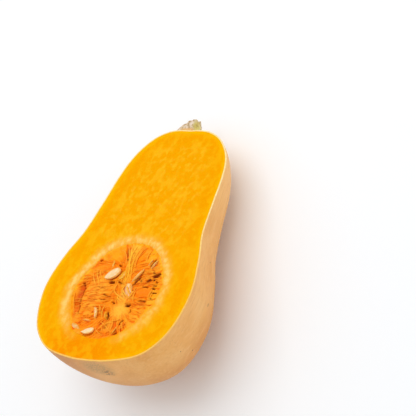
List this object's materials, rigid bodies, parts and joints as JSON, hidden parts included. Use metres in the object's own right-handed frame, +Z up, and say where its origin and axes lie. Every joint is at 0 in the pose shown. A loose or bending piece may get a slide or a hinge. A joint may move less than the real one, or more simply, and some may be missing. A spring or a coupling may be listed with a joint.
{
  "type": "butternut squash",
  "caption": "Half of a butternut squash cut lengthwise, lying on its skin with the cut face up: thin tan rind, orange flesh, a cavity of stringy pulp with pale seeds, and a corky stem stub.",
  "frame": {"origin": "bottom centre of the part's box, on the surface the half lies on, under the waist between bulb and neck", "axes": "+Y runs level from the blossom end to the stem end, +X points across the cut face to its right seen with the stem away, +Z points up; the cut face looks up and slopes down 17.4 degrees towards the stem"},
  "size_m": [0.1332, 0.2212, 0.0958],
  "materials": {
    "rind": "thin waxy skin, satin",
    "flesh": "moist cut flesh, satin",
    "pulp": "wet fibres, glossy",
    "seed": "smooth hull, satin",
    "stem": "dry cork, matte"
  },
  "bodies": {
    "root": {"rind": "rind", "flesh": "flesh", "seed_pulp": "pulp", "stem": "stem", "seed_01": "seed", "seed_02": "seed", "seed_03": "seed", "seed_04": "seed", "seed_05": "seed", "seed_06": "seed", "seed_07": "seed", "seed_08": "seed", "seed_09": "seed", "seed_10": "seed", "seed_11": "seed", "seed_12": "seed", "seed_13": "seed"}
  },
  "joints": []
}
